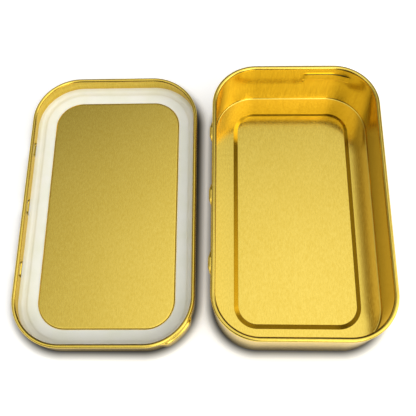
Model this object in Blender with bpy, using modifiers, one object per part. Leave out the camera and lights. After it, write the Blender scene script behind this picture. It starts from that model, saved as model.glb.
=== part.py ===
# Flat tobacco tin, unhooked and open: the deep base and, beside it, its lid lying inside up.
# Units are metres, +Z is up and both pieces rest on z = 0.
# The base's hinge hooks are on its left side and the slots they go through are in the lid's.

import math

import bmesh
import bpy
from mathutils import Vector

# Sheet metal and the gap that separate pieces keep
SHEET = 0.0003
GAP = 0.0003

# Base: its mouth inside the rolled rim, the wall below, which stands a little further out,
# the height over the rim, and the raised panel in its floor
BASE_HALF_WIDTH = 0.03675
BASE_HALF_LENGTH = 0.06315
BASE_CORNER = 0.0186
BASE_HEIGHT = 0.0286
BASE_WALL_OUT = 0.0012
BASE_NECK_BOTTOM = 0.0250
BASE_NECK_TOP = 0.0268
BASE_FILLET = 0.0007
BASE_CURL_RADIUS = 0.00105
BASE_BORDER = 0.0092
BASE_STEP_WIDTH = 0.0020
BASE_PANEL_RISE = 0.0010

# Lid: outer faces of the wall, height over the hem, and the panel pressed up inside it
LID_HALF_WIDTH = 0.0411
LID_HALF_LENGTH = 0.0681
LID_CORNER = 0.0229
LID_HEIGHT = 0.0107
LID_FILLET = 0.0013
LID_HEM_RADIUS = 0.0009
LID_BORDER = 0.0091
LID_STEP_WIDTH = 0.0009
LID_PANEL_RISE = 0.0016

# Sealing ring, flowed into the channel between the lid's wall and its panel
RING_EDGE_CLEARANCE = 0.00065
RING_INNER_CLEARANCE = 0.0004
RING_OUTER_TOP = 0.0015
RING_INNER_TOP = 0.00145
RING_CHANNEL_FLOOR = 0.0012
RING_CHANNEL_HALF_WIDTH = 0.0014
RING_EDGE_ROUND = 0.0003

# Hinge: three hooks on the base's left rim and three slots in the lid's left wall.
# The lid lies turned over, so its hinge offset has the other sign.
HINGE_COUNT = 3
HINGE_PITCH = 0.0312
HINGE_OFFSET = 0.0010
HOOK_LENGTH = 0.0036
HOOK_TAPER = 0.0032
HOOK_RADIUS = 0.0009
HOOK_TIP_RADIUS = 0.0001
HOOK_REACH = 0.0011
HOOK_DROP = 0.0006
SLOT_LENGTH = 0.0066
SLOT_BOTTOM = 0.0015
SLOT_TOP = 0.0043
SLOT_POCKET_DEPTH = 0.0008
SLOT_RAMP = 0.0007

# Finger recess, pressed inward high in the base's far wall and round into its right corner
RECESS_START = 0.0050
RECESS_RAMP = 0.0009
RECESS_END_ANGLE = math.radians(60)
RECESS_END_RAMP = math.radians(10)
RECESS_BOTTOM = 0.0170
RECESS_LOWER_EDGE = 0.0014
RECESS_TOP = 0.0223
RECESS_UPPER_EDGE = 0.0007
RECESS_DEPTH = 0.0004

# Relief in the walls starts this close to them; floors and panels stay as drawn
PRESS_REACH = 0.0020

# Thumb lip, pressed outward in the lid's near right corner
LIP_START_ANGLE = math.radians(-70)
LIP_END_ANGLE = math.radians(-20)
LIP_RAMP_ANGLE = math.radians(10)
LIP_BOTTOM = 0.0014
LIP_TOP = 0.0094
LIP_EDGE = 0.0011
LIP_DEPTH = 0.0011

# Where the lid lies beside the base, from the base's centre
LID_PLACE = (-0.0877, 0.0024)
LID_TURN = math.radians(0.57)

# Facets: segments in a quarter turn of a corner, of a fillet and of a curl
CORNER_STEPS = 9
FILLET_STEPS = 4
CURL_STEPS = 9
HOOK_STEPS = 12
HOOK_TAPER_STEPS = 4

# Lacquer and seal colours
GOLD = (0.82, 0.56, 0.13, 1.0)
SEAL_WHITE = (0.86, 0.85, 0.78, 1.0)


def clear_scene():
    for old in list(bpy.data.objects):
        bpy.data.objects.remove(old, do_unlink=True)


def collection(name, parent):
    group = bpy.data.collections.new(name)
    parent.children.link(group)
    return group


def material(name, colour, metallic, roughness):
    finish = bpy.data.materials.new(name)
    finish.use_nodes = True
    shader = finish.node_tree.nodes["Principled BSDF"]
    shader.inputs["Base Color"].default_value = colour
    shader.inputs["Metallic"].default_value = metallic
    shader.inputs["Roughness"].default_value = roughness
    return finish


def ramp(value, start, end):
    """0 before start, 1 after end and a straight ramp between them."""
    return min(1.0, max(0.0, (value - start) / (end - start)))


def plateau(value, low, high, edge):
    """1 between low and high, falling to 0 over edge outside them."""
    return ramp(value, low - edge, low) * (1.0 - ramp(value, high, high + edge))


def outline(half_width, half_length, corner, breaks):
    """Stations round a rounded rectangle, anticlockwise: a point and its outward direction.

    breaks gives, for each side, the places along it that need a station of their own.
    """
    stations = []
    signs = ((1, 1), (-1, 1), (-1, -1), (1, -1))
    sides = ("far", "left", "near", "right")
    for quarter, (side_x, side_y) in enumerate(signs):
        centre = Vector((side_x * (half_width - corner), side_y * (half_length - corner)))
        for step in range(CORNER_STEPS + 1):
            angle = math.radians(90) * (quarter + step / CORNER_STEPS)
            outward = Vector((math.cos(angle), math.sin(angle)))
            stations.append((centre + corner * outward, outward))
        side = sides[quarter]
        places = breaks.get(side, ())
        if side in ("far", "left"):
            places = sorted(places, reverse=True)
        else:
            places = sorted(places)
        for place in places:
            if side in ("far", "near"):
                point = Vector((place, side_y * half_length))
            else:
                point = Vector((side_x * half_width, place))
            stations.append((point, outward))
    return stations


def arc(centre, radius, start, end, steps):
    """Points of a profile arc; the first, where it leaves the line before it, is left out."""
    points = []
    for step in range(1, steps + 1):
        angle = math.radians(start + (end - start) * step / steps)
        points.append((centre[0] + radius * math.cos(angle), centre[1] + radius * math.sin(angle)))
    return points


def place_ring(verts, stations, offset, height, pressed):
    """Put one ring of vertices at an offset from the outline and at a height."""
    for vert, (point, outward) in zip(verts, stations):
        push = offset
        if offset > -PRESS_REACH:
            push += pressed(point, outward, height)
        vert.co = (point.x + outward.x * push, point.y + outward.y * push, height)


def sweep(mesh_name, stations, profile, pressed, panel_faces=None):
    """Carry a profile round the stations.

    With a panel, which faces "up" or "down", the first ring is filled and the last stays open:
    a sheet to be thickened. Without one the last ring joins the first: a ring of solid section.
    """
    bm = bmesh.new()
    first = [bm.verts.new((0, 0, 0)) for _ in stations]
    edges = []
    for vert, following in zip(first, first[1:] + first[:1]):
        edges.append(bm.edges.new((vert, following)))
    place_ring(first, stations, *profile[0], pressed)
    first_edges = list(edges)
    panel = bm.faces.new(first) if panel_faces else None
    ring = first
    for offset, height in profile[1:]:
        made = bmesh.ops.extrude_edge_only(bm, edges=edges)["geom"]
        new_edges = [item for item in made if isinstance(item, bmesh.types.BMEdge)]
        follows = {}
        for old in ring:
            for edge in old.link_edges:
                other = edge.other_vert(old)
                if other not in ring and other in made:
                    follows[old] = other
        ring = [follows[old] for old in ring]
        edges = [edge for edge in new_edges if all(vert in ring for vert in edge.verts)]
        place_ring(ring, stations, offset, height, pressed)
    if panel is None:
        bmesh.ops.bridge_loops(bm, edges=edges + first_edges)
    bmesh.ops.recalc_face_normals(bm, faces=bm.faces)
    if panel is not None:
        panel.normal_update()
        if (panel.normal.z > 0) != (panel_faces == "up"):
            bmesh.ops.reverse_faces(bm, faces=bm.faces)
    mesh = bpy.data.meshes.new(mesh_name)
    bm.to_mesh(mesh)
    bm.free()
    return mesh


def thicken(obj):
    """Give the drawn surface the thickness of the sheet, behind its faces."""
    sheet = obj.modifiers.new("sheet metal", "SOLIDIFY")
    sheet.thickness = SHEET
    sheet.offset = -1.0
    sheet.use_even_offset = True
    sheet.use_quality_normals = True


def new_object(name, mesh, group, finish):
    mesh.materials.append(finish)
    mesh.shade_smooth()
    mesh.set_sharp_from_angle(angle=math.radians(35))
    obj = bpy.data.objects.new(name, mesh)
    group.objects.link(obj)
    return obj


def hinge_places(offset):
    middle = (HINGE_COUNT - 1) / 2
    return [offset + HINGE_PITCH * (number - middle) for number in range(HINGE_COUNT)]


def no_press(point, outward, height):
    return 0.0


def base_press(point, outward, height):
    """Push of the finger recess, along the far wall and round into the corner: inward, so below 0."""
    angle = math.atan2(outward.y, outward.x)
    along = ramp(point.x, RECESS_START, RECESS_START + RECESS_RAMP)
    along *= ramp(angle, RECESS_END_ANGLE, RECESS_END_ANGLE + RECESS_END_RAMP)
    up = ramp(height, RECESS_BOTTOM, RECESS_BOTTOM + RECESS_LOWER_EDGE)
    up *= 1.0 - ramp(height, RECESS_TOP - RECESS_UPPER_EDGE, RECESS_TOP)
    return -RECESS_DEPTH * along * up


def lid_press(point, outward, height):
    """Outward push of the thumb lip and of the pockets that the hinge slots lie in."""
    angle = math.atan2(outward.y, outward.x)
    lip = plateau(angle, LIP_START_ANGLE + LIP_RAMP_ANGLE, LIP_END_ANGLE - LIP_RAMP_ANGLE, LIP_RAMP_ANGLE)
    push = LIP_DEPTH * lip * plateau(height, LIP_BOTTOM + LIP_EDGE, LIP_TOP - LIP_EDGE, LIP_EDGE)
    if point.x < 0.0:
        for place in hinge_places(HINGE_OFFSET):
            across = plateau(point.y, place - SLOT_LENGTH / 2, place + SLOT_LENGTH / 2, SLOT_RAMP)
            up = plateau(height, SLOT_BOTTOM, SLOT_TOP, SLOT_RAMP)
            push += SLOT_POCKET_DEPTH * across * up
    return push


def make_base(group, cutters, gold):
    """Drawn base: raised panel, border, wall, neck and outward curl, drawn on its inner face."""
    stations = outline(BASE_HALF_WIDTH, BASE_HALF_LENGTH, BASE_CORNER,
                       {"far": (RECESS_START, RECESS_START + RECESS_RAMP)})
    curl_centre = (BASE_CURL_RADIUS, BASE_HEIGHT - BASE_CURL_RADIUS)
    wall = BASE_WALL_OUT
    profile = [(wall - BASE_BORDER - BASE_STEP_WIDTH, BASE_PANEL_RISE), (wall - BASE_BORDER, 0.0)]
    profile.append((wall - BASE_FILLET, 0.0))
    profile += arc((wall - BASE_FILLET, BASE_FILLET), BASE_FILLET, -90, 0, FILLET_STEPS)
    profile += [(wall, RECESS_BOTTOM), (wall, RECESS_BOTTOM + RECESS_LOWER_EDGE)]
    profile += [(wall, RECESS_TOP - RECESS_UPPER_EDGE), (wall, RECESS_TOP)]
    profile += [(wall, BASE_NECK_BOTTOM), (0.0, BASE_NECK_TOP), (0.0, curl_centre[1])]
    profile += arc(curl_centre, BASE_CURL_RADIUS, 180, -90, CURL_STEPS)
    mesh = sweep("base_tray", stations, profile, base_press, "up")
    base = new_object("base_tray", mesh, group, gold)
    base.location.z = SHEET
    thicken(base)
    hooks = collection("hinge hooks", cutters)
    for number, place in enumerate(hinge_places(-HINGE_OFFSET)):
        hook = make_hook("hook_%d" % (number + 1), hooks, gold)
        reach = BASE_HALF_WIDTH + 2 * BASE_CURL_RADIUS + HOOK_REACH - HOOK_RADIUS
        hook.parent = base
        hook.location = (-reach, place, BASE_HEIGHT - HOOK_RADIUS - HOOK_DROP)
        hook.hide_render = True
        hook.display_type = "WIRE"
    join = base.modifiers.new("hooks", "BOOLEAN")
    join.operation = "UNION"
    join.operand_type = "COLLECTION"
    join.collection = hooks
    return base


def make_hook(name, group, gold):
    """One hinge hook: a small barrel along the rim, easing away at both ends, turned about its axis."""
    tip = HOOK_LENGTH / 2 + HOOK_TAPER
    taper = []
    for step in range(HOOK_TAPER_STEPS + 1):
        swell = math.sin(math.radians(90) * step / HOOK_TAPER_STEPS) ** 2
        radius = HOOK_TIP_RADIUS + (HOOK_RADIUS - HOOK_TIP_RADIUS) * swell
        taper.append((radius, tip - HOOK_TAPER * step / HOOK_TAPER_STEPS))
    profile = [(0.0, tip)] + taper
    profile += [(radius, -height) for radius, height in reversed(taper)] + [(0.0, -tip)]
    bm = bmesh.new()
    verts = [bm.verts.new((radius, 0.0, height)) for radius, height in profile]
    for first, second in zip(verts, verts[1:]):
        bm.edges.new((first, second))
    mesh = bpy.data.meshes.new(name)
    bm.to_mesh(mesh)
    bm.free()
    hook = new_object(name, mesh, group, gold)
    turn = hook.modifiers.new("turned", "SCREW")
    turn.steps = HOOK_STEPS
    turn.render_steps = HOOK_STEPS
    turn.use_merge_vertices = True
    turn.merge_threshold = 0.00001
    hook.rotation_euler = (math.radians(90), 0.0, 0.0)
    return hook


def make_lid(group, gold):
    """Drawn lid, inside up: panel, channel, wall, inward hem; drawn on its outer face."""
    slot_breaks = []
    for place in hinge_places(HINGE_OFFSET):
        for side in (-1, 1):
            slot_breaks += [place + side * SLOT_LENGTH / 2, place + side * (SLOT_LENGTH / 2 + SLOT_RAMP)]
    stations = outline(LID_HALF_WIDTH, LID_HALF_LENGTH, LID_CORNER, {"left": slot_breaks})
    hem_centre = (-LID_HEM_RADIUS, LID_HEIGHT - LID_HEM_RADIUS)
    profile = [(-LID_BORDER - LID_STEP_WIDTH, LID_PANEL_RISE), (-LID_BORDER, 0.0), (-LID_FILLET, 0.0)]
    profile += arc((-LID_FILLET, LID_FILLET), LID_FILLET, -90, 0, FILLET_STEPS)
    levels = [SLOT_BOTTOM, SLOT_TOP, SLOT_TOP + SLOT_RAMP]
    levels += [LIP_BOTTOM + LIP_EDGE, LIP_TOP - LIP_EDGE, LIP_TOP]
    profile += [(0.0, level) for level in sorted(levels)]
    profile.append((0.0, hem_centre[1]))
    profile += arc(hem_centre, LID_HEM_RADIUS, 0, 270, CURL_STEPS)
    mesh = sweep("lid_pan", stations, profile, lid_press, "down")
    cut_slots(mesh)
    lid = new_object("lid_pan", mesh, group, gold)
    thicken(lid)
    return lid


def cut_slots(mesh):
    """Open the three hinge slots: the flat bottoms of the pockets are taken out."""
    bm = bmesh.new()
    bm.from_mesh(mesh)
    doomed = []
    for face in bm.faces:
        middle = face.calc_center_median()
        beside = middle.x < -LID_HALF_WIDTH - SLOT_POCKET_DEPTH / 2
        if beside and SLOT_BOTTOM < middle.z < SLOT_TOP:
            for place in hinge_places(HINGE_OFFSET):
                if abs(middle.y - place) < SLOT_LENGTH / 2:
                    doomed.append(face)
    bmesh.ops.delete(bm, geom=doomed, context="FACES")
    bm.to_mesh(mesh)
    bm.free()


def make_ring(group, white):
    """Sealing ring: a low band with a shallow groove where the base's rim presses into it."""
    half_width = LID_HALF_WIDTH - SHEET
    half_length = LID_HALF_LENGTH - SHEET
    corner = LID_CORNER - SHEET
    stations = outline(half_width, half_length, corner, {})
    outer = -RING_EDGE_CLEARANCE
    inner = -LID_BORDER + SHEET + RING_INNER_CLEARANCE
    bottom = SHEET + GAP
    groove = BASE_HALF_WIDTH + BASE_CURL_RADIUS - half_width
    profile = [
        (inner, bottom),
        (outer - RING_EDGE_ROUND, bottom),
        (outer, bottom + RING_EDGE_ROUND),
        (outer, RING_OUTER_TOP - RING_EDGE_ROUND),
        (outer - RING_EDGE_ROUND, RING_OUTER_TOP),
        (groove + RING_CHANNEL_HALF_WIDTH, RING_OUTER_TOP),
        (groove + RING_CHANNEL_HALF_WIDTH / 2, RING_CHANNEL_FLOOR),
        (groove - RING_CHANNEL_HALF_WIDTH / 2, RING_CHANNEL_FLOOR),
        (groove - RING_CHANNEL_HALF_WIDTH, RING_INNER_TOP),
        (inner + RING_EDGE_ROUND, RING_INNER_TOP),
        (inner, RING_INNER_TOP - RING_EDGE_ROUND),
    ]
    mesh = sweep("sealing_ring", stations, profile, no_press)
    return new_object("sealing_ring", mesh, group, white)


def stand_on_origin(pieces, pair):
    """Move the pair so that the middle of its underside is the origin."""
    bpy.context.view_layer.update()
    graph = bpy.context.evaluated_depsgraph_get()
    corners = []
    for piece in pieces:
        seen = piece.evaluated_get(graph)
        corners += [seen.matrix_world @ vert.co for vert in seen.to_mesh().vertices]
    for axis in range(3):
        low = min(corner[axis] for corner in corners)
        high = max(corner[axis] for corner in corners)
        pair.location[axis] = -low if axis == 2 else -(low + high) / 2


clear_scene()
tin = collection("tobacco tin", bpy.context.scene.collection)
cutters = collection("cutters", bpy.context.scene.collection)
gold = material("gold lacquer", GOLD, 1.0, 0.28)
white = material("sealing compound", SEAL_WHITE, 0.0, 0.5)
base = make_base(tin, cutters, gold)
lid = make_lid(tin, gold)
ring = make_ring(tin, white)
pair = bpy.data.objects.new("pair", None)
tin.objects.link(pair)
lid.location = (LID_PLACE[0], LID_PLACE[1], 0.0)
lid.rotation_euler = (0.0, 0.0, LID_TURN)
ring.parent = lid
base.parent = pair
lid.parent = pair
stand_on_origin((base, lid, ring), pair)
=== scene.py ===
import math

import bpy
import numpy as np
from mathutils import Matrix, Vector


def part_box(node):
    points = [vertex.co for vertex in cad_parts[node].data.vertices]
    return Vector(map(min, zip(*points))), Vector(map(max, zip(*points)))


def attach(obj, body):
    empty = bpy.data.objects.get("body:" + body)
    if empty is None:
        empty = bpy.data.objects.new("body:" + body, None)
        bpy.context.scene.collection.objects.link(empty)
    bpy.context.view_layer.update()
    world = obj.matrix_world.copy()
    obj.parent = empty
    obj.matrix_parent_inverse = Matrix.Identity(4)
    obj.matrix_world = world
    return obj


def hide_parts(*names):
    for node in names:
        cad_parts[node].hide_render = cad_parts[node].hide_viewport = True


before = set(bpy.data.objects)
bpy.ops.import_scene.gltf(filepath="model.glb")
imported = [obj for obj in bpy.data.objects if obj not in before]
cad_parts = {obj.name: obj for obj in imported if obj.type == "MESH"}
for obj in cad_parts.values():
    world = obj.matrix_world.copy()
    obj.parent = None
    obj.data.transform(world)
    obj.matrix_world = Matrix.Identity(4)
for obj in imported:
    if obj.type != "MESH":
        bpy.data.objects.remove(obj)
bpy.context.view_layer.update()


# Base
# A deep tray drawn in one piece from thin tinplate, lacquered gold on both faces. Its floor has
# a raised panel inside a flat border, the wall is necked in under a rim that is rolled outward,
# and a long finger recess is pressed inward high in the far wall and round into its right corner.
SHEET = 0.0003
CORNER_STEPS = 36
SIDE_SPACING = 0.0009
BASE_HALF_WIDTH = 0.03675
BASE_HALF_LENGTH = 0.06315
BASE_CORNER = 0.0186
BASE_HEIGHT = 0.0286
BASE_WALL_OUT = 0.0012
BASE_NECK_BOTTOM = 0.0250
BASE_NECK_TOP = 0.0268
BASE_NECK_ROUND = 0.0005
BASE_FILLET = 0.0007
BASE_CURL_RADIUS = 0.00105
BASE_BORDER = 0.0092
BASE_STEP_WIDTH = 0.0020
BASE_PANEL_RISE = 0.0010
BASE_STEP_ROUND = 0.0004
RECESS_START = 0.0050
RECESS_RAMP = 0.0009
RECESS_END_ANGLE = math.radians(60)
RECESS_END_RAMP = math.radians(10)
RECESS_BOTTOM = 0.0170
RECESS_LOWER_EDGE = 0.0014
RECESS_TOP = 0.0223
RECESS_UPPER_EDGE = 0.0007
RECESS_DEPTH = 0.0004
RECESS_ROWS = 30
PRESS_REACH = 0.0020
EDGE_STEPS = 8
NECK_STEPS = 6
CURL_STEPS = 24
CURL_FROM_DEGREES = 180
CURL_TO_DEGREES = -95
SHARP_EDGE = math.radians(40)


def outline(half_width, half_length, corner):
    """Points and outward directions round a rounded rectangle, anticlockwise."""
    points = []
    outwards = []
    for quarter, (side_x, side_y) in enumerate(((1, 1), (-1, 1), (-1, -1), (1, -1))):
        centre = np.array((side_x * (half_width - corner), side_y * (half_length - corner)))
        for step in range(CORNER_STEPS + 1):
            angle = math.radians(90) * (quarter + step / CORNER_STEPS)
            outward = np.array((math.cos(angle), math.sin(angle)))
            points.append(centre + corner * outward)
            outwards.append(outward)
        run = 2 * ((half_width if quarter % 2 == 0 else half_length) - corner)
        along = np.array((-outward[1], outward[0]))
        start = points[-1]
        count = round(run / SIDE_SPACING)
        for step in range(1, count):
            points.append(start + along * run * step / count)
            outwards.append(outward)
    return np.array(points), np.array(outwards)


def arc(centre, radius, start, end, steps):
    """Profile points on an arc from one angle to another, in degrees."""
    angles = np.radians(np.linspace(start, end, steps + 1))
    return [(centre[0] + radius * math.cos(a), centre[1] + radius * math.sin(a)) for a in angles]


def rounded(corners, steps):
    """A profile through (offset, height, radius) corners, each rounded by an arc of its radius."""
    path = [corners[0][:2]]
    for before, here, after in zip(corners, corners[1:], corners[2:]):
        point = Vector(here[:2])
        back = (Vector(before[:2]) - point).normalized()
        on = (Vector(after[:2]) - point).normalized()
        half = back.angle(on) / 2
        centre = point + (back + on).normalized() * here[2] / math.sin(half)
        first = point + back * here[2] / math.tan(half) - centre
        last = point + on * here[2] / math.tan(half) - centre
        turn = first.angle_signed(last)
        for step in range(steps + 1):
            spoke = first.copy()
            spoke.rotate(Matrix.Rotation(-turn * step / steps, 2))
            path.append(tuple(centre + spoke))
    path.append(corners[-1][:2])
    return path


def smooth_ramp(value, start, end):
    """0 before start, 1 after end, and an eased rise between."""
    share = np.clip((value - start) / (end - start), 0.0, 1.0)
    return share * share * (3.0 - 2.0 * share)


def swept(name, half_width, half_length, corner, profile, press=None, panel=True, keep=None):
    """A mesh of a profile carried round a rounded rectangle.

    The first ring is filled as the panel, or joined to the last where there is no panel.
    press gives the outward push of relief in the wall, and keep says which faces stay, by
    their middle.
    """
    points, outwards = outline(half_width, half_length, corner)
    count = len(points)
    rings = []
    for offset, height in profile:
        push = np.full(count, offset)
        if press is not None and offset > -PRESS_REACH:
            push = push + press(points, outwards, height)
        rings.append(np.column_stack((points + outwards * push[:, None], np.full(count, height))))
    verts = np.concatenate(rings)
    faces = []
    around = len(rings) - 1 if panel else len(rings)
    for ring in range(around):
        low = ring * count
        high = (ring + 1) % len(rings) * count
        for step in range(count):
            following = (step + 1) % count
            faces.append((low + step, low + following, high + following, high + step))
    if keep is not None:
        faces = [face for face in faces if keep(verts[list(face)].mean(0))]
    if panel:
        faces.append(tuple(range(count - 1, -1, -1)))
    mesh = bpy.data.meshes.new(name)
    mesh.from_pydata(verts.tolist(), [], faces)
    mesh.validate()
    return mesh


def base_press(points, outwards, height):
    """Push of the finger recess: inward, so below 0."""
    angles = np.arctan2(outwards[:, 1], outwards[:, 0])
    along = smooth_ramp(points[:, 0], RECESS_START, RECESS_START + RECESS_RAMP)
    along = along * smooth_ramp(angles, RECESS_END_ANGLE, RECESS_END_ANGLE + RECESS_END_RAMP)
    up = smooth_ramp(height, RECESS_BOTTOM, RECESS_BOTTOM + RECESS_LOWER_EDGE)
    up = up * (1.0 - smooth_ramp(height, RECESS_TOP - RECESS_UPPER_EDGE, RECESS_TOP))
    return -RECESS_DEPTH * along * up


def solid_piece(name, mesh, finish, thickness=None):
    """An object of a mesh, thickened behind its faces where a sheet's thickness is given."""
    piece = bpy.data.objects.new(name, mesh)
    bpy.context.scene.collection.objects.link(piece)
    mesh.materials.append(finish)
    if thickness:
        sheet = piece.modifiers.new("sheet metal", "SOLIDIFY")
        sheet.thickness = thickness
        sheet.offset = -1.0
        sheet.use_even_offset = True
        sheet.use_quality_normals = True
        bpy.context.view_layer.update()
        seen = piece.evaluated_get(bpy.context.evaluated_depsgraph_get())
        piece.data = bpy.data.meshes.new_from_object(seen)
        piece.modifiers.clear()
        piece.data.name = name
    piece.data.shade_smooth()
    piece.data.set_sharp_from_angle(angle=SHARP_EDGE)
    return piece


def socket_math(tree, kind, first, second):
    """A math node on two sockets or numbers; returns its result."""
    node = tree.nodes.new("ShaderNodeMath")
    node.operation = kind
    for number, value in enumerate((first, second)):
        if isinstance(value, (int, float)):
            node.inputs[number].default_value = value
        else:
            tree.links.new(value, node.inputs[number])
    return node.outputs[0]


def socket_range(tree, value, low, high, new_low, new_high):
    """Map a socket from one range to another, held at its ends."""
    node = tree.nodes.new("ShaderNodeMapRange")
    tree.links.new(value, node.inputs["Value"])
    node.inputs["From Min"].default_value = low
    node.inputs["From Max"].default_value = high
    node.inputs["To Min"].default_value = new_low
    node.inputs["To Max"].default_value = new_high
    return node.outputs["Result"]


def socket_noise(tree, scale, detail):
    """Noise in the piece's own space, with a scale per metre along each axis; returns 0 to 1."""
    place = tree.nodes.new("ShaderNodeTexCoord")
    mapping = tree.nodes.new("ShaderNodeMapping")
    mapping.inputs["Scale"].default_value = scale
    tree.links.new(place.outputs["Object"], mapping.inputs["Vector"])
    noise = tree.nodes.new("ShaderNodeTexNoise")
    noise.inputs["Scale"].default_value = 1.0
    noise.inputs["Detail"].default_value = detail
    tree.links.new(mapping.outputs["Vector"], noise.inputs["Vector"])
    return noise.outputs["Fac"]


# Each noise is its scale along X, Y and Z, and its detail.
FLOOR_GRAIN = ((1900.0, 650.0, 650.0), 4.0)
WALL_GRAIN = ((2400.0, 2400.0, 160.0), 3.0)
TONE_SHIFT = ((38.0, 22.0, 60.0), 2.0)
GRAIN_LOW = 0.25
GRAIN_HIGH = 0.75
GRAIN_SHARE = 0.85
TONE_SHARE = 0.15
SHADE_LOW = 0.3
SHADE_HIGH = 0.7
LEVEL_START = 0.9
LEVEL_END = 0.99
ROUGHNESS_SPREAD = 0.15
GRAIN_STRENGTH = 0.25


def lacquered_tin(name, deep, pale, edge, roughness, grain_depth):
    """Lacquer over rolled tinplate: a fine grain along the sheet, and slow shifts of tone.

    The grain runs the tin's long way on its floor, and up and down on its walls. deep and pale
    are the ends of its gold, and edge tints it where it is seen at a slant.
    """
    finish = bpy.data.materials.new(name)
    finish.use_nodes = True
    tree = finish.node_tree
    shader = tree.nodes["Principled BSDF"]
    floor_grain = socket_noise(tree, *FLOOR_GRAIN)
    wall_grain = socket_noise(tree, *WALL_GRAIN)
    facing = tree.nodes.new("ShaderNodeNewGeometry")
    split = tree.nodes.new("ShaderNodeSeparateXYZ")
    tree.links.new(facing.outputs["Normal"], split.inputs["Vector"])
    level = socket_math(tree, "ABSOLUTE", split.outputs["Z"], 0.0)
    flat = socket_range(tree, level, LEVEL_START, LEVEL_END, 0.0, 1.0)
    grain = tree.nodes.new("ShaderNodeMix")
    tree.links.new(flat, grain.inputs["Factor"])
    tree.links.new(wall_grain, grain.inputs["A"])
    tree.links.new(floor_grain, grain.inputs["B"])
    tone = socket_noise(tree, *TONE_SHIFT)
    shade = socket_math(tree, "ADD",
                        socket_math(tree, "MULTIPLY", grain.outputs["Result"], GRAIN_SHARE),
                        socket_math(tree, "MULTIPLY", tone, TONE_SHARE))
    colour = tree.nodes.new("ShaderNodeMix")
    colour.data_type = "RGBA"
    colour.inputs["A"].default_value = (*deep, 1.0)
    colour.inputs["B"].default_value = (*pale, 1.0)
    tone_share = socket_range(tree, shade, SHADE_LOW, SHADE_HIGH, 0.0, 1.0)
    tree.links.new(tone_share, colour.inputs["Factor"])
    tree.links.new(colour.outputs["Result"], shader.inputs["Base Color"])
    spread = socket_range(tree, grain.outputs["Result"], GRAIN_LOW, GRAIN_HIGH,
                          roughness * (1 - ROUGHNESS_SPREAD), roughness * (1 + ROUGHNESS_SPREAD))
    tree.links.new(spread, shader.inputs["Roughness"])
    shader.inputs["Metallic"].default_value = 1.0
    shader.inputs["Specular Tint"].default_value = (*edge, 1.0)
    relief = tree.nodes.new("ShaderNodeBump")
    relief.inputs["Strength"].default_value = GRAIN_STRENGTH
    relief.inputs["Distance"].default_value = grain_depth
    tree.links.new(grain.outputs["Result"], relief.inputs["Height"])
    tree.links.new(relief.outputs["Normal"], shader.inputs["Normal"])
    return finish


GOLD_DEEP = (0.70, 0.495, 0.070)
GOLD_PALE = (0.82, 0.615, 0.120)
GOLD_EDGE = (1.0, 0.94, 0.80)
GOLD_ROUGHNESS = 0.15
GRAIN_DEPTH = 0.00001
gold_lacquer = lacquered_tin("gold lacquer", GOLD_DEEP, GOLD_PALE, GOLD_EDGE, GOLD_ROUGHNESS,
                             GRAIN_DEPTH)

base_low, base_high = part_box("base_tray")
rim_reach = 2 * BASE_CURL_RADIUS
BASE_CENTRE = Vector((base_high.x - BASE_HALF_WIDTH - rim_reach,
                      base_low.y + BASE_HALF_LENGTH + rim_reach, SHEET))
curl_centre = (BASE_CURL_RADIUS, BASE_HEIGHT - BASE_CURL_RADIUS)
step_foot = BASE_WALL_OUT - BASE_BORDER
base_profile = rounded([(step_foot - 2 * BASE_STEP_WIDTH, BASE_PANEL_RISE, 0.0),
                        (step_foot - BASE_STEP_WIDTH, BASE_PANEL_RISE, BASE_STEP_ROUND),
                        (step_foot, 0.0, BASE_STEP_ROUND),
                        (BASE_WALL_OUT, 0.0, BASE_FILLET),
                        (BASE_WALL_OUT, RECESS_BOTTOM, 0.0)], EDGE_STEPS)
recess_rows = np.linspace(RECESS_BOTTOM, RECESS_TOP, RECESS_ROWS + 1)[1:-1]
base_profile += [(BASE_WALL_OUT, height) for height in recess_rows]
base_profile += rounded([(BASE_WALL_OUT, RECESS_TOP, 0.0),
                         (BASE_WALL_OUT, BASE_NECK_BOTTOM, BASE_NECK_ROUND),
                         (0.0, BASE_NECK_TOP, BASE_NECK_ROUND),
                         (0.0, curl_centre[1], 0.0)], NECK_STEPS)[:-1]
base_profile += arc(curl_centre, BASE_CURL_RADIUS, CURL_FROM_DEGREES, CURL_TO_DEGREES, CURL_STEPS)
base_mesh = swept("base_shell", BASE_HALF_WIDTH, BASE_HALF_LENGTH, BASE_CORNER, base_profile,
                  base_press)
base_mesh.flip_normals()
base_shell = solid_piece("base_shell", base_mesh, gold_lacquer, SHEET)
base_shell.location = BASE_CENTRE
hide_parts("base_tray")
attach(base_shell, "root")


# Lid
# A shallow pan drawn from the same tinplate, lying upside down. Its panel stands up inside a
# channel for the seal, and its edge is hemmed inward. Three slots for the hooks are pierced low
# in the left wall, and a thumb lip is pressed out at the near right corner.
LID_HALF_WIDTH = 0.0411
LID_HALF_LENGTH = 0.0681
LID_CORNER = 0.0229
LID_HEIGHT = 0.0107
LID_FILLET = 0.0013
LID_HEM_RADIUS = 0.0009
LID_BORDER = 0.0091
LID_STEP_WIDTH = 0.0009
LID_PANEL_RISE = 0.0016
LID_STEP_ROUND = 0.0005
LID_TURN = math.radians(0.57)
HINGE_PITCH = 0.0312
HINGE_OFFSET = 0.0010
SLOT_LENGTH = 0.0066
SLOT_BOTTOM = 0.0015
SLOT_TOP = 0.0043
SLOT_POCKET_DEPTH = 0.0008
SLOT_RAMP = 0.0007
LIP_START_ANGLE = math.radians(-70)
LIP_END_ANGLE = math.radians(-20)
LIP_RAMP_ANGLE = math.radians(10)
LIP_BOTTOM = 0.0014
LIP_TOP = 0.0094
LIP_EDGE = 0.0011
LIP_DEPTH = 0.0011
LID_WALL_ROWS = 40
HEM_STEPS = 24
HEM_TO_DEGREES = 290


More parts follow.
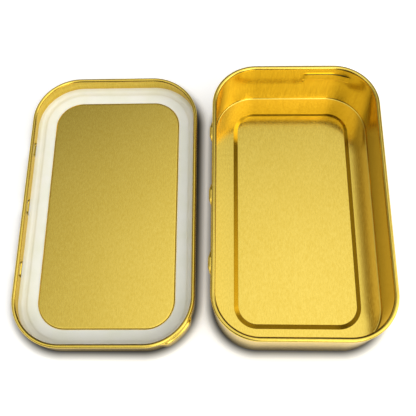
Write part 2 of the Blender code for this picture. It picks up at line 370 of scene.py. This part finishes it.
def plateau(value, low, high, edge):
    """1 between low and high, easing to 0 over edge outside them."""
    return smooth_ramp(value, low - edge, low) * (1.0 - smooth_ramp(value, high, high + edge))


def lid_press(points, outwards, height):
    """Outward push of the thumb lip and of the pockets that the slots lie in."""
    angles = np.arctan2(outwards[:, 1], outwards[:, 0])
    round_lip = plateau(angles, LIP_START_ANGLE + LIP_RAMP_ANGLE, LIP_END_ANGLE - LIP_RAMP_ANGLE,
                        LIP_RAMP_ANGLE)
    up_lip = plateau(height, LIP_BOTTOM + LIP_EDGE, LIP_TOP - LIP_EDGE, LIP_EDGE)
    push = LIP_DEPTH * round_lip * up_lip
    left = points[:, 0] < 0.0
    up_pocket = plateau(height, SLOT_BOTTOM, SLOT_TOP, SLOT_RAMP)
    for number in (-1, 0, 1):
        place = HINGE_OFFSET + HINGE_PITCH * number
        across = plateau(points[:, 1], place - SLOT_LENGTH / 2, place + SLOT_LENGTH / 2, SLOT_RAMP)
        push = push + left * SLOT_POCKET_DEPTH * across * up_pocket
    return push


def not_slot(middle):
    """False inside one of the three slots."""
    if middle[0] > -LID_HALF_WIDTH - SLOT_POCKET_DEPTH / 2:
        return True
    if not SLOT_BOTTOM < middle[2] < SLOT_TOP:
        return True
    return all(abs(middle[1] - HINGE_OFFSET - HINGE_PITCH * number) > SLOT_LENGTH / 2
               for number in (-1, 0, 1))


ring_low, ring_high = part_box("sealing_ring")
LID_CENTRE = Vector(((ring_low.x + ring_high.x) / 2, (ring_low.y + ring_high.y) / 2, 0.0))
hem_centre = (-LID_HEM_RADIUS, LID_HEIGHT - LID_HEM_RADIUS)
lid_profile = rounded([(-LID_BORDER - 2 * LID_STEP_WIDTH, LID_PANEL_RISE, 0.0),
                       (-LID_BORDER - LID_STEP_WIDTH, LID_PANEL_RISE, LID_STEP_ROUND),
                       (-LID_BORDER, 0.0, LID_STEP_ROUND),
                       (0.0, 0.0, LID_FILLET),
                       (0.0, SLOT_BOTTOM, 0.0)], EDGE_STEPS)
wall_rows = np.linspace(SLOT_BOTTOM, hem_centre[1], LID_WALL_ROWS)[1:-1]
lid_profile += [(0.0, height) for height in wall_rows]
lid_profile += arc(hem_centre, LID_HEM_RADIUS, 0, HEM_TO_DEGREES, HEM_STEPS)
lid_mesh = swept("lid_shell", LID_HALF_WIDTH, LID_HALF_LENGTH, LID_CORNER, lid_profile, lid_press,
                 keep=not_slot)
lid_shell = solid_piece("lid_shell", lid_mesh, gold_lacquer, SHEET)
lid_shell.location = LID_CENTRE
lid_shell.rotation_euler = (0.0, 0.0, LID_TURN)
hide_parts("lid_pan")
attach(lid_shell, "root")


# Seal
# A white compound flowed wet into the lid's channel, between its wall and the panel's step, and
# set there. The base's rim has pressed a shallow groove round it.
SEAL_TOP = 0.0015
SEAL_SAG = 0.0003
SEAL_GROOVE_DEPTH = 0.0003
SEAL_GROOVE_HALF_WIDTH = 0.0014
SEAL_GROOVE_ROUND = 0.0020
SEAL_GROOVE_BED = 0.4
SEAL_CLING = 0.9
SEAL_STEPS = 6

seal_under = SHEET * SEAL_CLING
seal_outer = -SHEET * SEAL_CLING
seal_foot = -LID_BORDER + SHEET * 0.5
seal_inner = seal_foot - (SEAL_TOP - SEAL_SAG - SHEET) * LID_STEP_WIDTH / LID_PANEL_RISE
seal_groove = BASE_HALF_WIDTH + BASE_CURL_RADIUS - LID_HALF_WIDTH
groove_edge = SEAL_GROOVE_HALF_WIDTH
groove_bed = SEAL_GROOVE_HALF_WIDTH * SEAL_GROOVE_BED
groove_floor = SEAL_TOP - SEAL_GROOVE_DEPTH
seal_profile = rounded([(seal_foot, seal_under, 0.0),
                        (seal_outer - LID_FILLET, seal_under, SHEET / 2),
                        (seal_outer, LID_FILLET, SHEET / 4),
                        (seal_outer, SEAL_TOP, SHEET / 8),
                        (seal_groove + groove_edge, SEAL_TOP, SEAL_GROOVE_ROUND),
                        (seal_groove + groove_bed, groove_floor, SEAL_GROOVE_ROUND),
                        (seal_groove - groove_bed, groove_floor, SEAL_GROOVE_ROUND),
                        (seal_groove - groove_edge, SEAL_TOP, SEAL_GROOVE_ROUND),
                        (seal_inner, SEAL_TOP - SEAL_SAG, 0.0)], SEAL_STEPS)
seal_mesh = swept("seal", LID_HALF_WIDTH, LID_HALF_LENGTH, LID_CORNER, seal_profile, panel=False)


CLOUD = ((90.0, 90.0, 90.0), 3.0)
CLOUD_LOW = 0.35
CLOUD_HIGH = 0.65
SKIN = ((420.0, 420.0, 420.0), 3.0)
SKIN_STRENGTH = 0.3
SKIN_DEPTH = 0.0001


def white_compound(name, creamy, pale, roughness):
    """Soft white sealing compound: faint creamy clouding and a slightly uneven satin skin."""
    finish = bpy.data.materials.new(name)
    finish.use_nodes = True
    tree = finish.node_tree
    shader = tree.nodes["Principled BSDF"]
    cloud = socket_noise(tree, *CLOUD)
    colour = tree.nodes.new("ShaderNodeMix")
    colour.data_type = "RGBA"
    colour.inputs["A"].default_value = (*creamy, 1.0)
    colour.inputs["B"].default_value = (*pale, 1.0)
    cloud_share = socket_range(tree, cloud, CLOUD_LOW, CLOUD_HIGH, 0.0, 1.0)
    tree.links.new(cloud_share, colour.inputs["Factor"])
    tree.links.new(colour.outputs["Result"], shader.inputs["Base Color"])
    shader.inputs["Roughness"].default_value = roughness
    relief = tree.nodes.new("ShaderNodeBump")
    relief.inputs["Strength"].default_value = SKIN_STRENGTH
    relief.inputs["Distance"].default_value = SKIN_DEPTH
    tree.links.new(socket_noise(tree, *SKIN), relief.inputs["Height"])
    tree.links.new(relief.outputs["Normal"], shader.inputs["Normal"])
    return finish


SEAL_CREAMY = (0.93, 0.95, 0.82)
SEAL_PALE = (0.98, 0.99, 0.91)
SEAL_ROUGHNESS = 0.45
seal_finish = white_compound("white sealing compound", SEAL_CREAMY, SEAL_PALE, SEAL_ROUGHNESS)
seal = solid_piece("seal", seal_mesh, seal_finish)
seal.location = LID_CENTRE
seal.rotation_euler = (0.0, 0.0, LID_TURN)
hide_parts("sealing_ring")
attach(seal, "root")


# Hinge hooks
# Three small tabs of the base's own sheet, left standing at its left rim and rolled outward and
# down into short barrels. The lid's slots hang on them.
HOOK_LENGTH = 0.0036
HOOK_TAPER = 0.0032
HOOK_RADIUS = 0.0009
HOOK_TIP_RADIUS = 0.0001
HOOK_REACH = 0.0011
HOOK_DROP = 0.0006
HOOK_RINGS = 28
HOOK_SPOKES = 24

for number in (-1, 0, 1):
    half = HOOK_LENGTH / 2 + HOOK_TAPER
    verts = []
    faces = []
    for ring in range(HOOK_RINGS + 1):
        along = -half + 2 * half * ring / HOOK_RINGS
        swell = 1.0 - float(smooth_ramp(abs(along), HOOK_LENGTH / 2, half))
        radius = HOOK_TIP_RADIUS + (HOOK_RADIUS - HOOK_TIP_RADIUS) * swell
        for spoke in range(HOOK_SPOKES):
            angle = math.tau * spoke / HOOK_SPOKES
            verts.append((radius * math.cos(angle), along, radius * math.sin(angle)))
    for ring in range(HOOK_RINGS):
        for spoke in range(HOOK_SPOKES):
            low = ring * HOOK_SPOKES
            high = low + HOOK_SPOKES
            following = (spoke + 1) % HOOK_SPOKES
            faces.append((low + spoke, high + spoke, high + following, low + following))
    faces.append(tuple(range(HOOK_SPOKES)))
    faces.append(tuple(range(len(verts) - 1, len(verts) - HOOK_SPOKES - 1, -1)))
    hook_mesh = bpy.data.meshes.new("hook")
    hook_mesh.from_pydata(verts, [], faces)
    hook = solid_piece("hinge_hook_%d" % (number + 2), hook_mesh, gold_lacquer)
    hook.location = BASE_CENTRE + Vector((
        -BASE_HALF_WIDTH - rim_reach - HOOK_REACH + HOOK_RADIUS,
        -HINGE_OFFSET + HINGE_PITCH * number,
        BASE_HEIGHT - HOOK_RADIUS - HOOK_DROP))
    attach(hook, "root")


# Table
# A pale light table, large enough to fill the view. It glows evenly, but not close round the tin,
# where it is lit only by the tent; there its colour is also painted dark, a painted shadow round
# the tin that is darkest at the foot of its walls.
TABLE_SIZE = 3.0
TABLE_DROP = 0.0001
TABLE_ROUGHNESS = 0.7
TABLE_SHINE = 0.2
TABLE_GLOW = 0.40
TABLE_GLOW_START = 0.001
TABLE_GLOW_END = 0.006
# The table's colour: pale away from the tin, painted dark close round it as a painted shadow.
TABLE_PALE = 0.85
TABLE_PAINTED_SHADOW = 0.06
TABLE_PAINTED_SHADOW_END = 0.0042


def distance_round(tree, centre, half_width, half_length, corner):
    """Distance of the table's points outside a rounded rectangle; returns the node's result."""
    place = tree.nodes.new("ShaderNodeTexCoord")
    steps = (("SUBTRACT", (centre.x, centre.y, 0.0)),
             ("ABSOLUTE", None),
             ("SUBTRACT", (half_width - corner, half_length - corner, 1.0)),
             ("MAXIMUM", (0.0, 0.0, 0.0)),
             ("LENGTH", None))
    value = place.outputs["Object"]
    for kind, second in steps:
        node = tree.nodes.new("ShaderNodeVectorMath")
        node.operation = kind
        tree.links.new(value, node.inputs[0])
        if second is not None:
            node.inputs[1].default_value = second
        value = node.outputs["Value" if kind == "LENGTH" else "Vector"]
    return socket_math(tree, "SUBTRACT", value, corner)


bpy.ops.mesh.primitive_plane_add(size=TABLE_SIZE, location=(0.0, 0.0, -TABLE_DROP))
table = bpy.context.object
table.name = "table_top"
table_finish = bpy.data.materials.new("pale light table")
table_finish.use_nodes = True
table_tree = table_finish.node_tree
table_shader = table_tree.nodes["Principled BSDF"]
table_shader.inputs["Roughness"].default_value = TABLE_ROUGHNESS
table_shader.inputs["Specular IOR Level"].default_value = TABLE_SHINE
table_shader.inputs["Emission Color"].default_value = (1.0, 1.0, 1.0, 1.0)
from_base = distance_round(table_tree, BASE_CENTRE, BASE_HALF_WIDTH + BASE_WALL_OUT,
                           BASE_HALF_LENGTH + BASE_WALL_OUT, BASE_CORNER + BASE_WALL_OUT)
from_lid = distance_round(table_tree, LID_CENTRE, LID_HALF_WIDTH, LID_HALF_LENGTH, LID_CORNER)
nearest = socket_math(table_tree, "MINIMUM", from_base, from_lid)
# The glow is cut off close round the tin, which leaves painted shade there.
table_glow = socket_range(table_tree, nearest, TABLE_GLOW_START, TABLE_GLOW_END, 0.0, TABLE_GLOW)
table_tree.links.new(table_glow, table_shader.inputs["Emission Strength"])
# Painted shadow: the table's colour darkens towards the tin's outline, darkest at its feet.
table_painted_shadow = socket_range(table_tree, nearest, 0.0, TABLE_PAINTED_SHADOW_END, TABLE_PAINTED_SHADOW, TABLE_PALE)
table_tree.links.new(table_painted_shadow, table_shader.inputs["Base Color"])
table.data.materials.append(table_finish)


# Light
# A soft white tent round the table: faint all over, bright overhead and on the camera's right,
# with a low glow from the right, a small lamp on the camera's side, a soft glow from the left and
# a weak fill from the far left.
TENT_FAINT = 0.065
# Each glow is its direction, the cosines of the angles from it where the glow starts and is full,
# and its strength.
OVERHEAD_GLOW = ((0.15, 0.11, 1.0), 0.73, 1.12, 1.60)
CAMERA_RIGHT_GLOW = ((0.35, -0.61, 0.71), 0.70, 1.0, 1.3)
LOW_RIGHT_GLOW = ((0.90, -0.10, 0.38), 0.77, 1.0, 2.0)
FAR_LEFT_GLOW = ((-0.77, 0.44, 0.47), 0.70, 1.0, 0.30)
CAMERA_LAMP_GLOW = ((0.29, -0.79, 0.54), 0.96, 0.99, 2.5)
LEFT_GLOW = ((-0.56, -0.26, 0.79), 0.85, 1.0, 1.0)


def add_glow(tree, place, total, direction, start, end, strength):
    """Add to the tent's light a glow round a direction, rising from start to end of its cosine."""
    dot = tree.nodes.new("ShaderNodeVectorMath")
    dot.operation = "DOT_PRODUCT"
    tree.links.new(place.outputs["Generated"], dot.inputs[0])
    dot.inputs[1].default_value = Vector(direction).normalized()
    share = tree.nodes.new("ShaderNodeMapRange")
    share.interpolation_type = "SMOOTHSTEP"
    tree.links.new(dot.outputs["Value"], share.inputs["Value"])
    share.inputs["From Min"].default_value = start
    share.inputs["From Max"].default_value = end
    share.inputs["To Max"].default_value = strength
    return socket_math(tree, "ADD", total, share.outputs["Result"])


tent = bpy.data.worlds.new("soft light tent")
bpy.context.scene.world = tent
tent.use_nodes = True
tent_tree = tent.node_tree
tent_place = tent_tree.nodes.new("ShaderNodeTexCoord")
tent_glow = TENT_FAINT
for glow in (OVERHEAD_GLOW, CAMERA_RIGHT_GLOW, LOW_RIGHT_GLOW, FAR_LEFT_GLOW, CAMERA_LAMP_GLOW,
             LEFT_GLOW):
    tent_glow = add_glow(tent_tree, tent_place, tent_glow, *glow)
tent_light = tent_tree.nodes["Background"]
tent_tree.links.new(tent_glow, tent_light.inputs["Strength"])
tent_light.inputs["Color"].default_value = (1.0, 1.0, 1.0, 1.0)


# Camera
# Held over the near left of the base and tipped, as the photograph was taken. Its place is told
# from the middle of the base's floor.
CAMERA_FROM_BASE = Vector((-0.03123, -0.10427, 0.27608))
CAMERA_PITCH = 0.3727
CAMERA_YAW = 0.0929
CAMERA_ROLL = -0.0852
FOCAL_PIXELS = 610.65
FRAME_PIXELS = 416
SENSOR_WIDTH = 36.0
CLIP_START = 0.01
CLIP_END = 20.0
camera = bpy.data.objects.new("camera", bpy.data.cameras.new("camera"))
bpy.context.scene.collection.objects.link(camera)
camera.data.sensor_width = SENSOR_WIDTH
camera.data.lens = FOCAL_PIXELS / FRAME_PIXELS * SENSOR_WIDTH
camera.data.clip_start = CLIP_START
camera.data.clip_end = CLIP_END
tipped = Matrix.Rotation(CAMERA_YAW, 4, "Z") @ Matrix.Rotation(CAMERA_PITCH, 4, "X")
camera.matrix_world = (Matrix.Translation(BASE_CENTRE + CAMERA_FROM_BASE) @ tipped
                       @ Matrix.Rotation(CAMERA_ROLL, 4, "Z"))
bpy.context.scene.camera = camera
bpy.context.scene.view_settings.view_transform = "Standard"
